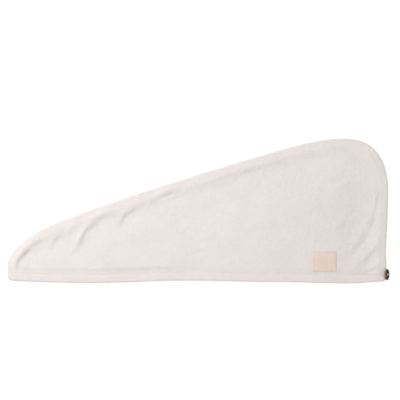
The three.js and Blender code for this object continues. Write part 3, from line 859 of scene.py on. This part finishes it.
def thread_material():
    """Cotton-wrapped sewing thread: two plies twisted round each other, with a soft shine."""
    material, tree, shader = new_material("cream_thread", 0.6, 0.3)
    shader.inputs["Sheen Weight"].default_value = 0.2
    place = tree.nodes.new("ShaderNodeTexCoord").outputs["Object"]
    plies = tree.nodes.new("ShaderNodeTexWave")
    plies.bands_direction = "DIAGONAL"
    plies.inputs["Scale"].default_value = PLY_SCALE
    plies.inputs["Distortion"].default_value = 0.6
    tree.links.new(place, plies.inputs["Vector"])
    grooves = range_node(tree, plies.outputs["Fac"], 0.1, 0.6, 0.7, 0.0)
    tone = mix_node(tree, grooves, THREAD_COLOUR, THREAD_DARK)
    tone, fluff = speckled(tree, place, FLUFF_SCALE, 0.65, 0.35, 0.15, tone, THREAD_DARK)
    tree.links.new(tone, shader.inputs["Base Color"])
    normal = bump_node(tree, plies.outputs["Fac"], PLY_HEIGHT, 0.6)
    tree.links.new(bump_node(tree, fluff, FLUFF_HEIGHT, 0.4, normal), shader.inputs["Normal"])
    return material


thread = thread_material()


def sewn_row(name, pattern, seats):
    """Copies of one stitch, each turned and set at its seat, joined to one row."""
    copies = []
    for seat in seats:
        copy = pattern.copy()
        copy.data = pattern.data.copy()
        copy.data.transform(seat)
        bpy.context.collection.objects.link(copy)
        copies.append(copy)
    choose(*copies)
    bpy.ops.object.join()
    row = bpy.context.object
    row.name = name
    row.data.materials.append(thread)
    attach(row, "root")
    return row


hem_stitch = stitch_shape("hem_stitch", STITCH_LENGTH, STITCH_THICK)
stitch_count = int((SEAM_END["along"] * LENGTH - 2 * STITCH_PITCH) / STITCH_PITCH)
stitch_x = STITCH_PITCH * (1 + np.arange(stitch_count + 1))
stitch_y = stitch_line(stitch_x) - STITCH_IN
stitch_turn = np.arctan(np.gradient(stitch_y, stitch_x))
front_level = hem_top(stitch_x, np.full_like(stitch_x, HEM_WIDTH - STITCH_IN))
front_pitch = np.arctan(np.gradient(front_level, stitch_x))
front_seats, back_seats = [], []
for x, y, z, turn, pitch in zip(stitch_x, stitch_y, front_level, stitch_turn, front_pitch):
    flat = Matrix.Rotation(turn, 4, "Z")
    sunk = z + STITCH_THICK / 2 - STITCH_SINK
    over = Matrix.Translation((x + tail_x, y + hem_y, sunk))
    front_seats.append(over @ flat @ Matrix.Rotation(-pitch, 4, "Y"))
    under = Matrix.Translation((x + tail_x, y + hem_y, STITCH_THICK / 2))
    back_seats.append(under @ flat @ Matrix.Rotation(math.pi, 4, "X"))
sewn_row("hem_front_stitches", hem_stitch, front_seats)
sewn_row("hem_back_stitches", hem_stitch, back_seats)
bpy.data.objects.remove(hem_stitch)


# Label patch
# A square of smooth pale leather, left blank, with a line pressed in along its margin. It lies on the front
# panel's loops, close above the hem, and is stitched down all round.
PATCH_SIZE = (0.040, 0.035)
PATCH_FROM_END = 0.089
PATCH_ABOVE_STITCH = 0.0045
PATCH_THICK = 0.0012
PATCH_SINK = 0.0003
PATCH_CORNER = 0.0022
PATCH_EDGE = 0.0003
PATCH_MARGIN = 0.0032
PRESSED_WIDTH = 0.0005
PRESSED_CORNER = 0.0014
PRESSED_DEEP = 0.00022
PATCH_CELL = 0.0025
PATCH_STITCH = 0.0017
PATCH_STITCH_PITCH = 0.0024
PATCH_STITCH_IN = 0.0013
PATCH_STITCH_UP = 0.1 * STITCH_THICK
LEATHER_CLOUDS = 60
CREASE_SCALE = 1500
CREASE_HEIGHT = 0.00006
PORE_SCALE = 2600
PORE_HEIGHT = 0.00005
PATCH_COLOUR = (0.775, 0.633, 0.535, 1)
PATCH_DARK = (0.680, 0.530, 0.430, 1)
PATCH_RUBBED = (0.830, 0.710, 0.625, 1)

patch_low_x = LENGTH - PATCH_FROM_END - PATCH_SIZE[0]
patch_x = patch_low_x + PATCH_SIZE[0] / 2
patch_y = float(stitch_line(patch_x)) + PATCH_ABOVE_STITCH + PATCH_SIZE[1] / 2


def cloth_level(x, y):
    """Height of the front panel's upper face at these places."""
    return front_faces(x, y, nearest(x, y, spaced(seam, SEAM_STEPS)[0])[0])[1]


def on_patch_rim(middle, part):
    """Whether an edge runs round the top of the patch, between its face and its side."""
    level = [face.normal.z > 0.9 for face in part.link_faces]
    side = [abs(face.normal.z) < 0.1 for face in part.link_faces]
    return middle.z > 0.9 * PATCH_THICK and any(level) and any(side)


def patch_shape():
    """The patch lying flat: round corners, soft edges, and a line pressed in round the margin."""
    bpy.ops.mesh.primitive_cube_add(size=1, location=(0, 0, PATCH_THICK / 2))
    piece = bpy.context.object
    piece.name = "label_patch_leather"
    piece.dimensions = (*PATCH_SIZE, PATCH_THICK)
    bpy.ops.object.transform_apply(scale=True, location=True)
    edit(piece)
    pick(piece, "FACE", lambda middle, part: part.normal.z > 0.9)
    bpy.ops.mesh.inset(thickness=PATCH_MARGIN)
    inner_x = PATCH_SIZE[0] / 2 - PATCH_MARGIN + PATCH_EDGE
    pick(piece, "VERT", lambda middle, part: middle.z > PATCH_THICK / 2 and abs(middle.x) < inner_x)
    bpy.ops.mesh.bevel(offset=PRESSED_CORNER, segments=4, affect="VERTICES")
    for deep in (PRESSED_DEEP, -PRESSED_DEEP):
        pick(piece, "FACE", lambda middle, part: part.normal.z > 0.9 and middle.to_2d().length < PATCH_EDGE)
        bpy.ops.mesh.inset(thickness=PRESSED_WIDTH)
        bpy.ops.transform.translate(value=(0, 0, -deep))
    pick(piece, "EDGE", lambda middle, part: abs(part.verts[0].co.z - part.verts[1].co.z) > PATCH_THICK / 2)
    bpy.ops.mesh.bevel(offset=PATCH_CORNER, segments=5, affect="EDGES")
    pick(piece, "EDGE", on_patch_rim)
    bpy.ops.mesh.bevel(offset=PATCH_EDGE, segments=3, affect="EDGES")
    for axis in (0, 1):
        half = PATCH_SIZE[axis] / 2
        cuts = int(2 * half / PATCH_CELL)
        for cut in range(1, cuts):
            place, across = [0, 0, 0], [0, 0, 0]
            place[axis] = half * (2 * cut / cuts - 1)
            across[axis] = 1
            bpy.ops.mesh.select_all(action="SELECT")
            bpy.ops.mesh.bisect(plane_co=place, plane_no=across)
    bpy.ops.object.mode_set(mode="OBJECT")
    return piece


def lay_on_cloth(piece, sink):
    """Moves the piece to the patch's place and bends it down on the loops."""
    corners = np.array([v.co for v in piece.data.vertices])
    level = cloth_level(corners[:, 0] + patch_x, corners[:, 1] + patch_y)
    for vertex, height in zip(piece.data.vertices, level):
        vertex.co += Vector((patch_x + tail_x, patch_y + hem_y, height - sink))


def leather_material():
    """Smooth vegetable-tanned leather: fine pores, faint clouding, and a rubbed sheen on the high places."""
    material, tree, shader = new_material("pale_leather", 0.52, 0.35)
    place = tree.nodes.new("ShaderNodeTexCoord").outputs["Object"]
    clouds = noise_node(tree, place, LEATHER_CLOUDS, 4, 0.6)
    grain = tree.nodes.new("ShaderNodeTexVoronoi")
    grain.feature = "DISTANCE_TO_EDGE"
    grain.inputs["Scale"].default_value = CREASE_SCALE
    tree.links.new(place, grain.inputs["Vector"])
    creases = range_node(tree, grain.outputs["Distance"], 0.0, 0.18)
    tone = mix_node(tree, range_node(tree, clouds, 0.3, 0.7), PATCH_COLOUR, PATCH_RUBBED)
    tone = mix_node(tree, range_node(tree, creases, 0.0, 1.0, 0.35, 0.0), tone, PATCH_DARK)
    tone, pores = speckled(tree, place, PORE_SCALE, 0.56, 0.7, 0.5, tone, PATCH_DARK)
    tree.links.new(tone, shader.inputs["Base Color"])
    tree.links.new(range_node(tree, clouds, 0.3, 0.7, 0.6, 0.45), shader.inputs["Roughness"])
    normal = bump_node(tree, creases, CREASE_HEIGHT, 0.5)
    normal = bump_node(tree, pores, PORE_HEIGHT, 0.4, normal)
    tree.links.new(normal, shader.inputs["Normal"])
    return material


label_patch = patch_shape()
lay_on_cloth(label_patch, PATCH_SINK)
choose(label_patch)
bpy.ops.object.shade_smooth_by_angle(angle=math.radians(40))
label_patch.data.materials.append(leather_material())
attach(label_patch, "root")
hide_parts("label_patch")

patch_stitch = stitch_shape("patch_stitch", PATCH_STITCH, 0.8 * STITCH_THICK)
patch_seats = []
for side, (along, away) in enumerate(((0, 1), (1, 0), (0, 1), (1, 0))):
    reach = PATCH_SIZE[along] / 2 - PATCH_CORNER
    count = int(2 * reach / PATCH_STITCH_PITCH)
    for index in range(count + 1):
        spot = [0, 0]
        spot[along] = reach * (2 * index / count - 1)
        spot[away] = (PATCH_SIZE[away] / 2 - PATCH_STITCH_IN) * (1 if side < 2 else -1)
        turn = Matrix.Rotation(math.pi / 2 * along, 4, "Z")
        patch_seats.append(Matrix.Translation((*spot, PATCH_THICK + PATCH_STITCH_UP)) @ turn)
patch_stitches = sewn_row("label_patch_stitches", patch_stitch, patch_seats)
lay_on_cloth(patch_stitches, PATCH_SINK)
bpy.data.objects.remove(patch_stitch)


# Button
# A dark brown polished horn-like button, 19 mm across, with a raised round rim, a dished middle and four
# holes. It hangs nearly on edge at the head end of the hem, facing outwards.
BUTTON_RADIUS = 0.0095
BUTTON_THICK = 0.0028
BUTTON_TILT = math.radians(25)
BUTTON_RIM = 0.0024
BUTTON_DISH = 0.0007
BUTTON_ROUND = 0.0010
HOLE_RADIUS = 0.00085
HOLE_PITCH = 0.0032
BUTTON_DARK = (0.014, 0.003, 0.0016, 1)
BUTTON_BROWN = (0.080, 0.016, 0.009, 1)
BUTTON_TAN = (0.40, 0.22, 0.15, 1)
BUTTON_WEAR_LINE = 0.0005
BUTTON_SEGMENTS = 72
BUTTON_SOFT = 0.00015
HOLE_SOFT = 0.00012
# Where the painted highlight round the button's side begins and where it is full.
BUTTON_SIDE_FROM = 0.0088
BUTTON_SIDE_TO = 0.0093
HORN_STRETCH = (90, 620, 90)
HORN_TURN = (0.3, 0, 0.2)
FLECK_SCALE = 900

# The rings turned into the face, from the rim inwards: how wide each is, and how deep it is cut.
BUTTON_RINGS = (
    (BUTTON_RIM - BUTTON_ROUND - BUTTON_WEAR_LINE, -0.00012),
    (BUTTON_WEAR_LINE, 0.00025),
    (0.0006, BUTTON_DISH),
    (0.0010, 0.00012),
    (0.0030, 0),
)

button_low, button_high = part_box("button")
button_place = (Vector(button_low) + Vector(button_high)) / 2
button_seat = Matrix.Translation(button_place) @ Matrix.Rotation(math.pi / 2 - BUTTON_TILT, 4, "Y")


def on_face(middle, part):
    """Whether this is the level face in the button's middle."""
    return part.normal.z > 0.9 and middle.to_2d().length < 0.0001


def on_turned_line(middle, part):
    """Whether an edge is one of the lines turned into the button's face."""
    inside_rim = BUTTON_RADIUS - BUTTON_ROUND - 0.0003
    near_top = middle.z > BUTTON_THICK / 2 - 0.0006
    return near_top and middle.to_2d().length < inside_rim and part.calc_face_angle(0) > 0.2


def on_hole_edge(middle, part):
    """Whether an edge is the sharp edge of one of the four holes."""
    return part.calc_face_angle(0) > 1.2 and middle.to_2d().length < HOLE_PITCH


def button_shape():
    """The button lying on its back at the origin, its face up."""
    bpy.ops.mesh.primitive_cylinder_add(vertices=BUTTON_SEGMENTS, radius=BUTTON_RADIUS, depth=BUTTON_THICK)
    piece = bpy.context.object
    piece.name = "button_turned"
    edit(piece)
    pick(piece, "FACE", lambda middle, part: abs(part.normal.z) > 0.9)
    bpy.ops.mesh.region_to_loop()
    bpy.ops.mesh.bevel(offset=BUTTON_ROUND, segments=6, affect="EDGES")
    for width, deep in BUTTON_RINGS:
        pick(piece, "FACE", on_face)
        bpy.ops.mesh.inset(thickness=width)
        bpy.ops.transform.translate(value=(0, 0, -deep))
    pick(piece, "EDGE", on_turned_line)
    bpy.ops.mesh.bevel(offset=BUTTON_SOFT, segments=2, affect="EDGES")
    bpy.ops.object.mode_set(mode="OBJECT")
    for side_x in (-1, 1):
        for side_y in (-1, 1):
            bpy.ops.mesh.primitive_cylinder_add(
                vertices=24, radius=HOLE_RADIUS, depth=3 * BUTTON_THICK,
                location=(side_x * HOLE_PITCH / 2, side_y * HOLE_PITCH / 2, 0),
            )
            drill = bpy.context.object
            choose(piece)
            bore = piece.modifiers.new("hole", "BOOLEAN")
            bore.operation = "DIFFERENCE"
            bore.object = drill
            bpy.ops.object.modifier_apply(modifier=bore.name)
            bpy.data.objects.remove(drill)
    edit(piece)
    pick(piece, "EDGE", on_hole_edge)
    bpy.ops.mesh.bevel(offset=HOLE_SOFT, segments=2, affect="EDGES")
    bpy.ops.object.mode_set(mode="OBJECT")
    return piece


def horn_material():
    """Polished dark horn: near-black, redder grain, a few pale flecks, and a painted tan highlight round its
    side.
    """
    material, tree, shader = new_material("dark_horn", 0.3, 0.018)
    place = tree.nodes.new("ShaderNodeTexCoord").outputs["Object"]
    stretch = tree.nodes.new("ShaderNodeMapping")
    stretch.inputs["Scale"].default_value = HORN_STRETCH
    stretch.inputs["Rotation"].default_value = HORN_TURN
    tree.links.new(place, stretch.inputs["Vector"])
    streaks = noise_node(tree, stretch.outputs["Vector"], 1, 4, 0.65)
    tone = mix_node(tree, range_node(tree, streaks, 0.42, 0.72), BUTTON_DARK, BUTTON_BROWN)
    tone, flecks = speckled(tree, place, FLECK_SCALE, 0.62, 0.75, 0.35, tone, BUTTON_TAN)
    # Round its side the button is painted tan, a painted highlight where the rim catches the light.
    side = tree.nodes.new("ShaderNodeAttribute")
    side.attribute_name = "side_painted_highlight"
    ragged = math_node(tree, "ADD", side.outputs["Fac"], range_node(tree, streaks, 0.3, 0.7, -0.35, 0.35))
    mask = range_node(tree, ragged, 0.3, 0.8)
    painted_light_tone = place_effect(tree, edge_painted_light, colour=tone, worn_colour=BUTTON_TAN, mask=mask, amount=0.85)
    tree.links.new(painted_light_tone["Colour"], shader.inputs["Base Color"])
    tree.links.new(range_node(tree, flecks, 0.3, 0.7, 0.22, 0.36), shader.inputs["Roughness"])
    tree.links.new(bump_node(tree, streaks, 0.00004, 0.3), shader.inputs["Normal"])
    return material


button = button_shape()
corners = np.array([v.co for v in button.data.vertices])
# How much of the painted highlight each corner of the button's side takes.
side_painted_highlight = button.data.attributes.new("side_painted_highlight", "FLOAT", "POINT")
side_painted_highlight.data.foreach_set("value", smooth(np.hypot(*corners[:, :2].T), BUTTON_SIDE_FROM, BUTTON_SIDE_TO))
button.data.transform(button_seat)
choose(button)
bpy.ops.object.shade_smooth_by_angle(angle=math.radians(35))
button.data.materials.append(horn_material())
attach(button, "root")
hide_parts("button")


# Button thread
# Doubled sewing thread goes up one hole and down the other across the dish, both ways, and behind the
# button the ends are wound round it to a short shank that stands on the hem's edge.
SEWING_THICK = 0.00065
CROSSING = 0.0020
CROSSING_POINTS = 25
LOWER_CROSSING = 0.45 * CROSSING
LEG_THICK = 1.6 * SEWING_THICK
HOLE_END = -0.0011
SHANK_RADIUS = 0.0013
SHANK_TURNS = 5
TURN_STEPS = 20
SHANK_SPAN = 0.0026


def thread_run(name, points, thick):
    """A round thread along points on the button's own axes, closed at both ends."""
    curve = bpy.data.curves.new(name, "CURVE")
    curve.dimensions = "3D"
    curve.bevel_depth = thick / 2
    curve.bevel_resolution = 2
    curve.use_fill_caps = True
    line = curve.splines.new("POLY")
    line.points.add(len(points) - 1)
    for spot, point in zip(line.points, points):
        spot.co = (*(button_seat @ Vector(point)), 1)
    run = bpy.data.objects.new(name, curve)
    bpy.context.collection.objects.link(run)
    choose(run)
    bpy.ops.object.convert(target="MESH")
    run = bpy.context.object
    bpy.ops.object.shade_smooth()
    return run


dish_level = BUTTON_THICK / 2 - BUTTON_DISH
strands = []
for way in (1, -1):
    for beside in (-0.5, 0.5):
        lift = CROSSING if way > 0 else LOWER_CROSSING
        points = []
        for share in np.linspace(-1, 1, CROSSING_POINTS):
            along = share * HOLE_PITCH / 2
            arch = 1 - share ** 4
            shift = beside * SEWING_THICK / math.sqrt(2)
            height = dish_level + 0.3 * SEWING_THICK + lift * arch
            points.append((along + way * shift, way * along - shift, height))
        first, last = points[0], points[-1]
        points = [(first[0], first[1], HOLE_END), *points, (last[0], last[1], HOLE_END)]
        strands.append(thread_run("button_strand", points, SEWING_THICK))

shank_low, shank_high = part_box("button_shank")
shank_middle = button_seat.inverted() @ ((Vector(shank_low) + Vector(shank_high)) / 2)
winding = []
for step in range(SHANK_TURNS * TURN_STEPS + 1):
    turn = 2 * math.pi * step / TURN_STEPS
    height = shank_middle.z + SHANK_SPAN * (step / (SHANK_TURNS * TURN_STEPS) - 0.5)
    winding.append((SHANK_RADIUS * math.cos(turn), SHANK_RADIUS * math.sin(turn), height))
strands.append(thread_run("button_winding", winding, SEWING_THICK))
for side_x in (-1, 1):
    for side_y in (-1, 1):
        leg = [
            (side_x * HOLE_PITCH / 2, side_y * HOLE_PITCH / 2, HOLE_END + 0.0004),
            (side_x * HOLE_PITCH / 2, side_y * HOLE_PITCH / 2, -BUTTON_THICK / 2 - 0.0002),
            (side_x * SHANK_RADIUS / 2, side_y * SHANK_RADIUS / 2, shank_middle.z + SHANK_SPAN / 2),
            (side_x * SHANK_RADIUS / 2, side_y * SHANK_RADIUS / 2, shank_middle.z - SHANK_SPAN / 2 - 0.001),
        ]
        strands.append(thread_run("button_leg", leg, LEG_THICK))
choose(*strands)
bpy.ops.object.join()
button_thread = bpy.context.object
button_thread.name = "button_thread_wound"
button_thread.data.materials.append(thread)
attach(button_thread, "root")
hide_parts("button_shank")
